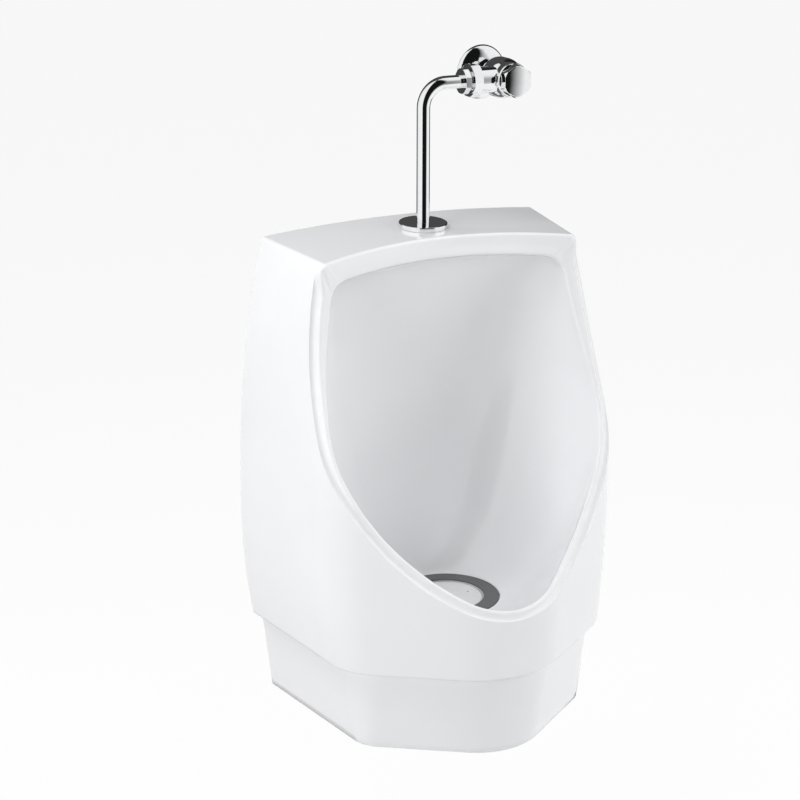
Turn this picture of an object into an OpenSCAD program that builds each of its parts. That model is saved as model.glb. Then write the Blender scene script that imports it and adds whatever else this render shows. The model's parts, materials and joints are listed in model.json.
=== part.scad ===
/* [Ware] */
// Half width of the ware at the wall, at its widest level
belly_half_w = 265; // [250:1:285]
// Height of that widest level over the outlet axis
belly_z = 230; // [200:1:260]
// Half width at the rear top corners
top_half_w = 223; // [205:1:235]
// Height of the rear top corners over the outlet axis
top_z = 630; // [600:1:660]
// Rise of the top's arch at the centre line
crown = 11; // [4:0.5:20]
// Fall of the top towards the front, in mm for each mm
top_fall = 0.055; // [0.02:0.005:0.09]
// Half width at the step over the skirt
step_half_w = 250; // [240:1:262]
// Height of the step over the outlet axis
step_z = 49; // [35:1:60]
// Draw-in of the sides towards the front, in mm for each mm
side_taper = 0.14; // [0.1:0.01:0.18]
// Depth of the front's sharp ridge before its rounding
ridge_depth = 398; // [385:1:410]
// Fall back of the diagonal fronts, in mm for each mm
front_slope = 0.68; // [0.6:0.01:0.75]
// Radius of the front corners
corner_r = 92; // [70:1:110]
// Radius of the nose
nose_r = 140; // [110:1:160]
// Thickness of the fired clay
clay = 11; // [9:0.5:13]
// Radius of the top's edges
edge_r = 7; // [4:0.5:10]

/* [Rim] */
// Depth of the front's top edge on the centre line
face_depth = 132; // [125:1:145]
// Extra depth of that edge at the front top corners
face_hollow = 34; // [20:1:40]
// Width of the flat frame over the opening
frame_w = 34; // [28:1:42]
// Half width of the opening at its top
opening_half_w = 150; // [140:1:160]
// Depth of the cove that sets the frame off from the sides
cove = 8; // [4:0.5:10]
// Radius of the rim's outer edge
rim_r = 4; // [3:0.5:6]
// Height of the lip over the outlet axis
lip_z = 150; // [140:1:165]

/* [Skirt] */
// Half width of the skirt at its top
skirt_top_half_w = 236; // [225:1:240]
// Half width of the skirt at its foot
skirt_foot_half_w = 222; // [210:1:230]
// Depth of the skirt's sharp ridge at its foot
skirt_ridge_depth = 366; // [355:1:375]
// Drop of the skirt's foot under the outlet axis
skirt_drop = 77; // [65:1:90]

/* [Drain] */
// Distance of the drain's centre from the wall
drain_d = 153; // [145:1:160]
// Radius of the trim ring over the drain
trim_r = 78.5; // [77:0.5:81]
// Radius of the trim ring's opening
trim_inner_r = 55.5; // [54.5:0.5:58]
// Height of the drain seat over the outlet axis
seat_z = 91; // [88:1:96]
// Outer radius of the drain housing's cup
housing_r = 57; // [56:0.5:58]
// Wall of the drain housing
housing_wall = 3; // [2.5:0.5:4]
// Depth of the cartridge under its lid
cartridge_h = 88; // [80:1:92]
// Outer radius of the outlet pipe
outlet_r = 25; // [24:0.5:27]
// Bore radius of the outlet pipe
outlet_bore_r = 22.5; // [20:0.5:23.5]

/* [Supply] */
// Distance of the supply tube from the wall
supply_d = 71; // [66:1:74]
// Outer diameter of the supply tube
tube_dia = 19.05; // [18:0.05:22]
// Height of the supply stop over the outlet axis
stop_z = 842; // [800:1:900]
// Distance of the supply stop from the centre line
stop_x = 131.5; // [125:0.5:145]
// Bend radius of the supply tube
bend_r = 34; // [28:1:40]
// Radius of the cover flange on the ware's top
spud_flange_r = 35.5; // [34:0.5:40]
// Radius of the wall flange round the supply inlet
wall_flange_r = 40; // [36:1:46]
// Radius of the stop's body
stop_r = 29; // [28:0.5:31]
// Bore radius of the supply inlet
inlet_bore_r = 7.9; // [6:0.1:8.5]
// Width of the stop's cap across its flats
cap_w = 42.4; // [40:0.2:46]
// Clear opening of the stop's valve
stop_lift = 6; // [4:0.5:7]

/* [Rinse line] */
// Outer radius of the rinse hose
hose_r = 6.5; // [5:0.5:7]
// Wall of the rinse hose
hose_wall = 1.1; // [0.8:0.1:1.4]

/* [Mounting] */
// Distance of each wall hanger from the centre line
hanger_x = 175; // [165:1:180]
// Height of the hanger ledges over the outlet axis
hanger_z = 560; // [540:1:575]
// Spacing of a hanger's two screw holes, one over the other
hanger_pitch = 30; // [24:1:36]
// Radius of the hanger's screw holes
hanger_hole_r = 4.25; // [3:0.25:5]

/* [Hidden] */
// Clearance of a running fit, on the radius, and of a piece set in a pocket
fit = 0.05;
gap = 0.3;
fine = 64;

// Small helpers for points, splines and curves
function lerp(a, b, t) = a + (b - a) * t;
function clamp01(t) = min(1, max(0, t));
function ease(t) = t * t * (3 - 2 * t);
function bezier3(a, b, c, d, t) =
    pow(1 - t, 3) * a + 3 * pow(1 - t, 2) * t * b + 3 * (1 - t) * t * t * c + pow(t, 3) * d;
function bezier2(a, b, c, t) = pow(1 - t, 2) * a + 2 * (1 - t) * t * b + t * t * c;
function hermite(a, b, c, d, t) =
    0.5 * (2 * b + (c - a) * t + (2 * a - 5 * b + 4 * c - d) * t * t + (3 * b - a - 3 * c + d) * t * t * t);
// A smooth curve through a list of points, t from 0 to 1, with the point before the first and after the last given
function through(list, before, after, t) =
    let (n = len(list) - 1, i = min(n - 1, floor(t * n)), f = t * n - i)
    hermite(i == 0 ? before : list[i - 1], list[i], list[i + 1], i == n - 1 ? after : list[i + 2], f);
function unit(v) = v / norm(v);
function mirror_x(p) = [for (i = [0:len(p) - 1]) i == 0 ? -p[0] : p[i]];

// The plan outline of one level, as half width, taper, ridge depth, front slope, corner radius and nose radius.
// A point on it lies at a share q of its way from the wall, 0, to the nose, 1. Depths are measured from the wall.
function plan_parts(p) =
    let (w = p[0], k = p[1], tip = p[2], m = p[3], rc = p[4], rn = p[5],
         a = atan(m), turn = 90 - a - atan(k),
         dc = (tip - m * w) / (1 - m * k), xc = w - k * dc,
         tc = rc * tan(turn / 2),
         xt = rn * sin(a), d0 = tip - rn / cos(a), dt = d0 + rn * cos(a),
         nose_len = rn * a * PI / 180, corner_len = rc * turn * PI / 180,
         flat_len = norm([xc - xt, dc - dt]) - tc, side_len = norm([w - xc, dc]) - tc)
    [a, turn, tc, xc, dc, xt, dt, d0, nose_len, flat_len, corner_len, side_len];
function plan_len(p) = let (o = plan_parts(p)) o[8] + o[9] + o[10] + o[11];
// Returns half width, depth and the outward normal of the left half
function plan_at(p, q) =
    let (o = plan_parts(p), a = o[0], rc = p[4], rn = p[5],
         s = (1 - q) * (o[8] + o[9] + o[10] + o[11]),
         s1 = o[8], s2 = s1 + o[9], s3 = s2 + o[10],
         cx = o[3] - o[2] * cos(a) - rc * sin(a), cd = o[4] + o[2] * sin(a) - rc * cos(a),
         g = s < s1 ? s / rn * 180 / PI
           : s < s2 ? a
           : s < s3 ? a + (s - s2) / rc * 180 / PI
           : a + o[1],
         x = s < s1 ? rn * sin(g)
           : s < s2 ? o[5] + (s - s1) * cos(a)
           : cx + rc * sin(g) + (s > s3 ? (s - s3) * cos(g) : 0),
         d = s < s1 ? o[7] + rn * cos(g)
           : s < s2 ? o[6] - (s - s1) * sin(a)
           : cd + rc * cos(g) - (s > s3 ? (s - s3) * sin(g) : 0))
    [x, d, sin(g), cos(g)];

// Levels of the upper body and of the skirt
function half_w(z) =
    z > belly_z
        ? belly_half_w - (belly_half_w - top_half_w) * pow((z - belly_z) / (top_z - belly_z), 2.3)
        : belly_half_w - (belly_half_w - step_half_w) * pow((belly_z - z) / (belly_z - step_z), 2.3);
function body_plan(z) =
    let (f = clamp01((z - step_z) / (belly_z - step_z)))
    [half_w(z), side_taper, ridge_depth + 4 * f, front_slope, corner_r + 8 * f, nose_r + 10 * f];
function skirt_plan(f) =
    [lerp(skirt_foot_half_w, skirt_top_half_w, f), side_taper + 0.02,
     skirt_ridge_depth + 18 * f, front_slope, 50 + 30 * f, 103 + 25 * f];
// A point on the left half of a plan, at a depth v under its surface, and never behind the wall plane
function on_plan(p, q, z, v) = let (o = plan_at(p, q)) [-(o[0] - v * o[2]), -max(0, o[1] - v * o[3]), z];
function on_body(q, z, v) = on_plan(body_plan(z), q, z, v);

// The top: an arch that falls to the front
function top_at(x, d) = top_z + crown * (1 - pow(x / top_half_w, 2)) - top_fall * d;
function face_at(x) = face_depth + face_hollow * pow(x / 200, 2);

// The rim in the skin's own terms: share of the way from the wall, and height
top_corner_d = face_at(196);
rim_top_z = top_z - top_fall * top_corner_d - edge_r;
rim_way = [
    [0.338, rim_top_z], [0.345, 555], [0.368, 487], [0.412, 418], [0.466, 359], [0.542, 303],
    [0.63, 247], [0.73, 202], [0.823, 173], [0.91, lip_z + 6], [1, lip_z]];
function rim_qz(v) = through(rim_way, [0.337, rim_top_z + 60], [1.09, lip_z + 6], v);
function rim_dir(v) =
    let (e = 0.004, a = rim_qz(max(0, v - e)), b = rim_qz(min(1, v + e)),
         l = plan_len(body_plan(a[1])))
    v > 0.999 ? [0, 1] : unit([a[1] - b[1], (b[0] - a[0]) * l]);

// Meridians round the opening, from the top's centre to the lip, and the counts on each stretch
n_top = 8;
n_shoulder = 3;
n_corner = 4;
n_cheek = 3;
n_side = 40;
i_shoulder = n_top;
i_corner = i_shoulder + n_shoulder;
i_cheek = i_corner + n_corner;
i_side = i_cheek + n_cheek;
n_all = i_side + n_side;
cheek_v = 0.1;
wall_v = 0.55;
function side_v(i) =
    i <= i_side ? cheek_v * (i - i_cheek) / n_cheek : cheek_v + (1 - cheek_v) * (i - i_side) / n_side;
// The meridian that ends in the wall edge's lower corner
i_wall = i_side + ceil(n_side * (wall_v - cheek_v) / (1 - cheek_v));
// Shares of the step's outline: few points on its straight stretches and more on its curves
step_parts = plan_parts(body_plan(step_z));
step_len = plan_len(body_plan(step_z));
step_stops = [0, step_parts[11] / step_len, (step_parts[11] + step_parts[10]) / step_len,
    1 - step_parts[8] / step_len, 1];
step_shares = [0, 0.13, 0.45, 0.55, 1];
function step_q(i) =
    let (t = (i - i_wall) / (n_all - i_wall), k = max([for (j = [0:3]) t >= step_shares[j] ? j : 0]))
    lerp(step_stops[k], step_stops[k + 1], (t - step_shares[k]) / (step_shares[k + 1] - step_shares[k]));
corner_x = top_half_w - side_taper * top_corner_d - edge_r;
function top_x(i) =
    i <= i_shoulder ? opening_half_w * i / n_top
    : lerp(opening_half_w, corner_x, (i - i_shoulder) / n_shoulder);

// A point of the top or the top's edge on meridian i, at depth d and v under the surface
function on_top(i, d, v) =
    i <= i_corner
        ? let (x = top_x(i) / corner_x * (half_w(top_z - edge_r) - side_taper * d - edge_r))
          [-x, -d, top_at(x, d) - v]
        : let (x = half_w(top_z - edge_r) - side_taper * d - edge_r,
            a = 90 - 90 * (i - i_corner) / n_corner)
          [-(x + (edge_r - v) * cos(a)), -d, top_at(x, d) - edge_r + (edge_r - v) * sin(a)];

// The cove's depth and the frame's width along the loop
function cove_at(i) = i <= i_cheek ? 0 : cove * ease(clamp01(side_v(i) / 0.06)) * lerp(1, 0.5,
    clamp01((side_v(i) - 0.75) / 0.25));
function frame_at(v) = lerp(15, 3, ease(clamp01((v - 0.05) / 0.35)));

// The skin's profile near the rim, u along the skin towards the opening and v under the surface
cove_run = 8;
frame_side = 5;
function profile(i) =
    let (c = cove_at(i))
    [for (a = [0, 30, 60, 90]) [-frame_side - cove_run * cos(a), c * sin(a)],
     for (a = [0, 30, 60, 90]) [-rim_r + rim_r * sin(a), c + rim_r - rim_r * cos(a)]];
function skin_point(i, u, v) =
    i < i_cheek
        ? on_top(i, (i <= i_corner ? face_at(top_x(i)) : top_corner_d) + u, v)
        : let (r = rim_qz(side_v(i)), f = rim_dir(side_v(i)), l = plan_len(body_plan(r[1])))
          on_body(min(1, r[0] + u * f[0] / l), r[1] + u * f[1], v);

// The edge of the opening inside the frame
function edge_side(i) = skin_point(i, -2, cove_at(i) + rim_r + frame_at(side_v(i)));
function edge_at(i) =
    i <= i_shoulder
        ? [-top_x(i), -(face_at(top_x(i)) - 3),
            top_at(top_x(i) * 1.3, 0) - 8 - frame_w + 0.69 * crown * pow(opening_half_w / top_half_w, 2)]
    : i >= i_side ? edge_side(i)
    : let (t = (i - i_shoulder) / (i_side - i_shoulder), a = edge_at(i_shoulder), b = edge_side(i_side))
      bezier2(a, [b[0] + 3, lerp(a[1], b[1], 0.6), a[2] - 1], b, t);

// The drain opening: a recess for the trim ring round a hole for the housing
seat_r = trim_r + 0.8;
seat_depth = 5;
hole_r = housing_r + 1.5;
under_r = hole_r + 18;
seat_floor_z = seat_z - seat_depth;
under_z = seat_floor_z - clay;

// Control points of the bowl, at stations round the opening: first and second control point and the drain angle
stations = [
    [0, [0, 20, 580], [0, 40, 110], 0],
    [i_shoulder, [-140, 24, 578], [-70, 38, 112], 32],
    [(i_corner + i_cheek) / 2, [-180, 45, 560], [-108, 42, 118], 52],
    [i_side + n_side / 8, [-206, 80, 440], [-135, 70, 112], 74],
    [i_side + n_side * 11 / 32, [-202, 130, 300], [-146, 118, 106], 95],
    [i_side + n_side * 17 / 32, [-172, 215, 180], [-130, 190, 100], 118],
    [i_side + n_side * 25 / 32, [-90, 310, 135], [-75, 250, 97], 150],
    [n_all, [0, 345, 122], [0, 288, 98], 180]];
function station_mix(k, i) =
    let (n = len(stations) - 1,
         s = max([for (j = [0:n - 1]) i >= stations[j][0] ? j : 0]),
         t = (i - stations[s][0]) / (stations[s + 1][0] - stations[s][0]),
         before = s == 0 ? (k == 3 ? -stations[1][3] : mirror_x(stations[1][k])) : stations[s - 1][k],
         after = s == n - 1 ? (k == 3 ? 360 - stations[n - 1][3] : mirror_x(stations[n - 1][k]))
             : stations[s + 2][k])
    hermite(before, stations[s][k], stations[s + 1][k], after, t);
function flip_y(p) = [p[0], -p[1], p[2]];
function drain_dir(i) = let (a = station_mix(3, i)) [-sin(a), cos(a), 0];
function drain_pt(i, r, z) = [0, -drain_d, z] + r * drain_dir(i);
function push_out(p, s) = let (v = unit([p[0], p[1] + drain_d, 0])) p + s * v;

n_skin = 10;
n_bowl = 11;
n_back = 7;
n_in = 4;
// The outer skin runs from the wall edge or the step to the cove
function skin_row(i, v, n) =
    i < i_cheek
        ? let (e = (i <= i_corner ? face_at(top_x(i)) : top_corner_d) - frame_side - cove_run)
          [for (k = [0:n - 1]) on_top(i, e * k / n, v)]
        : let (sv = side_v(i), r = rim_qz(sv), f = rim_dir(sv), l = plan_len(body_plan(r[1])),
               u = -frame_side - cove_run,
               e = [r[0] + u * f[0] / l, r[1] + u * f[1]],
               lowest = v > 0 ? step_z + clay : step_z,
               w = i <= i_wall ? [0, lerp(top_z - edge_r, lowest, (i - i_cheek) / (i_wall - i_cheek))]
                 : [step_q(i), lowest])
          [for (k = [0:n - 1]) let (m = lerp(w, e, k / n)) on_body(m[0], m[1], v)];
function section(i) =
    let (pr = profile(i),
         rim = [for (p = pr) skin_point(i, p[0], p[1])],
         last = rim[len(rim) - 1],
         edge = edge_at(i),
         c1 = flip_y(station_mix(1, i)), c2 = flip_y(station_mix(2, i)),
         seat = drain_pt(i, seat_r + 1, seat_z),
         soft = min(5, norm(edge - last) * 0.45),
         from = edge + unit(last - edge) * soft,
         start = edge + unit(c1 - edge) * soft,
         inner = skin_point(i, -frame_side - cove_run, clay),
         b1 = push_out(c1, clay), b2 = push_out(c2, clay) - [0, 0, clay])
    concat(
        skin_row(i, 0, n_skin),
        rim,
        [for (t = [0, 0.5]) bezier2(from, edge, start, t)],
        [for (k = [0:n_bowl - 1]) bezier3(start, c1, c2, seat, k / n_bowl)],
        [seat, drain_pt(i, seat_r, seat_floor_z), drain_pt(i, hole_r, seat_floor_z),
         drain_pt(i, hole_r, under_z)],
        [for (k = [0:n_back]) bezier3(drain_pt(i, under_r, under_z), b2, b1, inner, k / n_back)],
        let (row = skin_row(i, clay, n_in)) [for (k = [n_in - 1:-1:0]) row[k]]);

// The skirt's section from the step's outer edge, down the outside and up the inside
n_skirt = 4;
function skirt_section(i) =
    let (q = step_q(i))
    concat(
        [on_body(q, step_z, 0), on_plan(skirt_plan(1), q, step_z - 3, 0)],
        [for (k = [1:n_skirt]) on_plan(skirt_plan(1 - k / n_skirt), q,
            lerp(step_z - 3, -skirt_drop, k / n_skirt), 0)],
        [for (k = [n_skirt:-1:1]) on_plan(skirt_plan(1 - k / n_skirt), q,
            lerp(step_z - 3, -skirt_drop, k / n_skirt), clay)],
        [on_plan(skirt_plan(1), q, step_z - 3, clay), on_body(q, step_z + clay, clay)]);

// Triangles over a grid of points, with the same order on the mirrored half
function grid_faces(rows, cols, first, flip) =
    [for (i = [0:rows - 2], j = [0:cols - 2])
        let (a = first + i * cols + j, b = a + 1, c = a + cols + 1, d = a + cols)
        each (flip ? [[a, c, b], [a, d, c]] : [[a, b, c], [a, c, d]])];
function flat(list) = [for (row = list) each row];

module china_shell() {
    all = [for (i = [0:n_all]) section(i)];
    cols = len(all[0]);
    skirt = [for (i = [i_wall:n_all]) skirt_section(i)];
    skirt_cols = len(skirt[0]);
    wall_edge = [for (i = [0:i_wall]) [all[i][cols - 1], all[i][0]]];
    half_cap = skirt_cols / 2;
    cap = [for (k = [0:half_cap - 1]) [skirt[0][k], skirt[0][skirt_cols - 1 - k]]];
    left = concat(flat(all), flat(skirt), flat(wall_edge), flat(cap));
    first_skirt = (n_all + 1) * cols;
    first_edge = first_skirt + len(skirt) * skirt_cols;
    first_cap = first_edge + 2 * len(wall_edge);
    n_left = len(left);
    function half_faces(first, flip) = concat(
        grid_faces(n_all + 1, cols, first, flip),
        grid_faces(len(skirt), skirt_cols, first + first_skirt, !flip),
        grid_faces(len(wall_edge), 2, first + first_edge, flip),
        grid_faces(len(cap), 2, first + first_cap, flip));
    polyhedron(
        points = concat(left, [for (p = left) [-p[0], p[1], p[2]]]),
        faces = concat(half_faces(0, false), half_faces(n_left, true)));
}

// The supply stands at the top on the centre line
spud_face_r = 31;
spud_gasket_r = 24;
spud_seat_z = top_at(0, supply_d) - top_fall * spud_face_r - 0.1;
spud_under_z = top_at(0, supply_d) - clay + 1.5;
spud_hole_r = 17.5;
ledge_h = 12;
ledge_back = 4;
ledge_d = 28;
ledge_in_x = hanger_x - 25;

module china_body() {
    color("white") difference() {
        union() {
            china_shell();
            // Ledges that rest on the wall hangers
            for (s = [-1, 1])
                translate([s > 0 ? ledge_in_x : -half_w(hanger_z) + clay / 2, -ledge_d, hanger_z])
                    cube([half_w(hanger_z) - clay / 2 - ledge_in_x, ledge_d - ledge_back, ledge_h]);
        }
        // The spud's hole, with a flat under the top and another over it
        at_spud(spud_under_z - 20) cylinder(r = spud_hole_r, h = 60, $fn = fine);
        at_spud(spud_under_z - 20) cylinder(r = spud_gasket_r + 1, h = 20, $fn = fine);
        at_spud(spud_seat_z) cylinder(r = spud_face_r, h = 30, $fn = fine);
    }
}

// The wall hangers: a plate on the wall and a hook under each ledge
plate_t = 3;
plate_w = 40;
hanger_low_z = hanger_z - hanger_pitch - 35;
hook_front = ledge_d + gap + plate_t;
module wall_hanger(s) {
    color("silver") translate([s * hanger_x, 0, 0]) difference() {
        union() {
            translate([-plate_w / 2, -plate_t, hanger_low_z]) cube([plate_w, plate_t,
                hanger_z + ledge_h - hanger_low_z]);
            translate([-plate_w / 2, -hook_front, hanger_z - plate_t])
                cube([plate_w, hook_front - plate_t / 2, plate_t]);
            translate([-plate_w / 2, -hook_front, hanger_z - plate_t]) cube([plate_w, plate_t,
                plate_t + ledge_h]);
        }
        for (k = [0, 1]) translate([0, 1, hanger_low_z + 12 + k * hanger_pitch])
            rotate([90, 0, 0]) cylinder(r = hanger_hole_r, h = plate_t + 2, $fn = fine);
    }
}

// A ring, a hollow cylinder on the local z axis
module ring(outer, inner, h) {
    difference() {
        cylinder(r = outer, h = h, $fn = fine);
        translate([0, 0, -1]) cylinder(r = inner, h = h + 2, $fn = fine);
    }
}
// A nut with the given number of sides, measured across its flats, with chamfered corners
module nut(flats, sides, h, bore, turn = 0) {
    corner_r = flats / 2 / cos(180 / sides);
    low_r = flats / 2 + 0.3;
    difference() {
        intersection() {
            rotate([0, 0, turn]) cylinder(r = corner_r, h = h, $fn = sides);
            rotate_extrude($fn = fine) polygon([
                [0, 0], [low_r, 0], [corner_r + 0.5, h * 0.15], [corner_r + 0.5, h * 0.85], [low_r, h],
                    [0, h]]);
        }
        translate([0, 0, -1]) cylinder(r = bore, h = h + 2, $fn = fine);
    }
}
// A bar with the given number of sides, measured across its flats
module bar(flats, sides, h, turn = 0) { rotate([0, 0, turn]) cylinder(r = flats / 2 / cos(180 / sides),
    h = h, $fn = sides); }
// Frames: down the drain's axis, out of the wall at the outlet and at the stop, and along the supply's level run
module at_drain(z) { translate([0, -drain_d, z]) children(); }
module at_outlet(d) { translate([0, -d, 0]) rotate([90, 0, 0]) children(); }
module at_stop(d) { translate([stop_x, -d, stop_z]) rotate([90, 0, 0]) children(); }
module at_run(x) { translate([x, -supply_d, stop_z]) rotate([0, 90, 0]) children(); }

// The drain housing: a cup with a flange on the seat, an outlet spigot to the wall and a rinse port at the side
gasket_t = 1;
flange_t = 2;
flange_r = housing_r + 15;
housing_top_z = seat_floor_z + gasket_t + flange_t;
housing_in_r = housing_r - housing_wall;
housing_floor_z = -34;
spigot_r = outlet_r + 4;
spigot_end_d = 62;
port_z = 45;
port_x = housing_r + 12;
port_r = 9;
port_bore_r = 5;
module drain_housing() {
    color("gainsboro") difference() {
        union() {
            at_drain(housing_floor_z - housing_wall) cylinder(r = housing_r,
                h = housing_top_z - housing_floor_z + housing_wall, $fn = fine);
            at_drain(seat_floor_z + gasket_t) cylinder(r = flange_r, h = flange_t, $fn = fine);
            at_outlet(spigot_end_d) cylinder(r = spigot_r, h = drain_d - spigot_end_d - housing_r / 2,
                $fn = fine);
            translate([-port_x, -drain_d, port_z]) rotate([0, 90, 0]) cylinder(r = port_r,
                h = port_x - housing_r / 2, $fn = fine);
        }
        at_drain(housing_floor_z) cylinder(r = housing_in_r, h = drain_cut, $fn = fine);
        at_outlet(spigot_end_d - 1) cylinder(r = outlet_r + fit, h = outlet_in + 1, $fn = fine);
        at_outlet(spigot_end_d) cylinder(r = outlet_bore_r + 1, h = drain_d - spigot_end_d - 10,
            $fn = fine);
        translate([-port_x - 1, -drain_d, port_z]) rotate([0, 90, 0]) cylinder(r = port_bore_r, h = 30,
            $fn = fine);
    }
}
module housing_gasket() { color("dimgray") at_drain(seat_floor_z) ring(flange_r, hole_r, gasket_t); }
clamp_h = 10;
module clamp_washer() { color("dimgray") at_drain(under_z - gasket_t) ring(flange_r, housing_r + gap,
    gasket_t); }
module clamp_ring() {
    color("white") at_drain(under_z - gasket_t - clamp_h) difference() {
        union() {
            ring(flange_r - 4, housing_r + fit, clamp_h);
            for (k = [0:7]) rotate([0, 0, k * 45 + 22.5]) translate([flange_r - 6, -5, 0])
                cube([6, 10, clamp_h]);
        }
    }
}
trim_t = 2;
module trim_ring() {
    color("dimgray") at_drain(housing_top_z) rotate_extrude($fn = fine) polygon([
        [trim_inner_r, 0], [trim_r, 0], [trim_r, trim_t - 0.6], [trim_r - 0.6, trim_t],
            [trim_inner_r, trim_t]]);
}

// The trap cartridge, which lifts out of the housing
lid_z = housing_top_z - 3.5;
lid_t = 3;
lid_r = housing_in_r - 1;
cart_r = housing_in_r - 3.5;
cart_wall = 2.5;
// Long enough to cut up through any piece of the drain
drain_cut = 2 * cartridge_h;
cart_top_z = lid_z - 6;
cart_floor_z = lid_z - cartridge_h;
stand_r = 14;
weir_z = cart_top_z - 25;
o_ring_r = 1.6;
o_ring_z = [cart_top_z - 12, cart_top_z - 26];
module cartridge_body() {
    color("whitesmoke") difference() {
        union() {
            at_drain(cart_floor_z) cylinder(r = cart_r, h = cart_top_z - cart_floor_z, $fn = fine);
            // Lands that hold the sealing rings
            for (z = o_ring_z, s = [-1, 1]) at_drain(z + s * (o_ring_r + 1.3) - 1)
                cylinder(r = cart_r + 2.6, h = 2, $fn = fine);
        }
        difference() {
            at_drain(cart_floor_z + cart_wall) cylinder(r = cart_r - cart_wall, h = drain_cut, $fn = fine);
            at_drain(cart_floor_z) cylinder(r = stand_r, h = weir_z - cart_floor_z, $fn = fine);
        }
        at_drain(cart_floor_z - 1) cylinder(r = stand_r - 2, h = drain_cut, $fn = fine);
    }
}
module cartridge_o_rings() {
    color("dimgray") for (z = o_ring_z) at_drain(z)
        rotate_extrude($fn = fine) translate([cart_r + o_ring_r + fit, 0]) circle(r = o_ring_r, $fn = 32);
}
bell_r = 32;
bell_t = 2;
bell_low_z = cart_floor_z + cart_wall + 10;
bell_roof_z = weir_z + 8;
module cartridge_baffle() {
    color("gainsboro") difference() {
        union() {
            at_drain(bell_low_z) cylinder(r = bell_r, h = bell_roof_z + bell_t - bell_low_z, $fn = fine);
            at_drain(bell_roof_z) cylinder(r = 10, h = lid_z - bell_roof_z, $fn = fine);
        }
        at_drain(bell_low_z - 1) cylinder(r = bell_r - bell_t, h = bell_roof_z - bell_low_z + 1,
            $fn = fine);
    }
}
key_x = 36;
module cartridge_lid() {
    color("lightgray") difference() {
        union() {
            at_drain(lid_z) rotate_extrude($fn = fine) polygon([
                [0, 0], [lid_r, 0], [lid_r, lid_t - 0.8], [lid_r - 0.8, lid_t], [0, lid_t]]);
            // Legs that stand on the cartridge's rim, with the way in for the water between them
            for (k = [0:3]) at_drain(cart_top_z) rotate([0, 0, 45 + 90 * k])
                translate([cart_r - cart_wall, -6, 0]) cube([cart_wall, 12, lid_z - cart_top_z + 0.5]);
        }
        translate([key_x, -drain_d, lid_z - 1]) cylinder(r = 2, h = lid_t + 2, $fn = fine);
    }
}

// The outlet: a pipe into the spigot, with its slip nut, and a seal on the wall
outlet_in = 22;
nut_washer_t = 3;
module outlet_pipe() {
    color("gainsboro") at_outlet(0) ring(outlet_r, outlet_bore_r, spigot_end_d + outlet_in - gap);
}
module outlet_washer() { color("dimgray") at_outlet(spigot_end_d - nut_washer_t) ring(spigot_r - 0.2,
    outlet_r + fit, nut_washer_t); }
module outlet_nut() {
    color("white") at_outlet(spigot_end_d - nut_washer_t - 4) difference() {
        nut(2 * spigot_r + 12, 8, 22, outlet_r + gap, 22.5);
        translate([0, 0, 4]) cylinder(r = spigot_r + fit, h = 30, $fn = fine);
    }
}
module outlet_gasket() { color("dimgray") at_outlet(0) ring(outlet_r + 18, outlet_r + fit, 8); }

// The spud: a threaded inlet through the top, sealed under it and locked over it
tube_r = tube_dia / 2;
tube_wall = 1.3;
spud_r = spud_hole_r - 0.5;
spud_flange_low = spud_under_z - 5.5;
spud_top_z = spud_seat_z + 6;
spud_tail_z = spud_flange_low - 14;
spud_tail_r = 10.5;
module at_spud(z) { translate([0, -supply_d, z]) children(); }
module spud_body() {
    color("goldenrod") difference() {
        union() {
            at_spud(spud_flange_low) cylinder(r = spud_gasket_r, h = 3.5, $fn = fine);
            at_spud(spud_flange_low) cylinder(r = spud_r, h = spud_top_z - spud_flange_low, $fn = fine);
            at_spud(spud_tail_z) cylinder(r = spud_tail_r, h = 20, $fn = fine);
        }
        at_spud(spud_tail_z - 1) cylinder(r = 6, h = 100, $fn = fine);
        at_spud(spud_flange_low) cylinder(r = tube_r + fit, h = 100, $fn = fine);
        at_spud(spud_top_z - 5) cylinder(r = 13, h = 10, $fn = fine);
    }
}
module spud_gasket() { color("dimgray") at_spud(spud_flange_low + 3.5) ring(spud_gasket_r, spud_r + fit,
    2); }
module spud_washer() { color("dimgray") at_spud(spud_seat_z) ring(26, spud_r + fit, 1.2); }
module spud_locknut() { color("goldenrod") at_spud(spud_seat_z + 1.2) nut(46, 6, 4.3, spud_r + fit); }
module tube_seal() { color("dimgray") at_spud(spud_top_z - 5) ring(13 - fit, tube_r + fit, 4.8); }
spud_flange_t = 7;
module spud_flange() {
    color("silver") difference() {
        translate([0, -supply_d, top_at(0, supply_d)]) rotate([atan(top_fall), 0, 0]) difference() {
            rotate_extrude($fn = fine) polygon(concat(
                [[0, fit], [spud_flange_r, fit]],
                [for (a = [0:30:90]) [spud_flange_r - 1.5 + 1.5 * cos(a),
                    spud_flange_t - 1.5 + 1.5 * sin(a)]],
                [[0, spud_flange_t]]));
            translate([0, 0, -1]) cylinder(r = spud_flange_r - 2, h = spud_flange_t - 0.5, $fn = fine);
        }
        at_spud(spud_seat_z) cylinder(r = tube_r + fit, h = 30, $fn = fine);
    }
}

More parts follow.
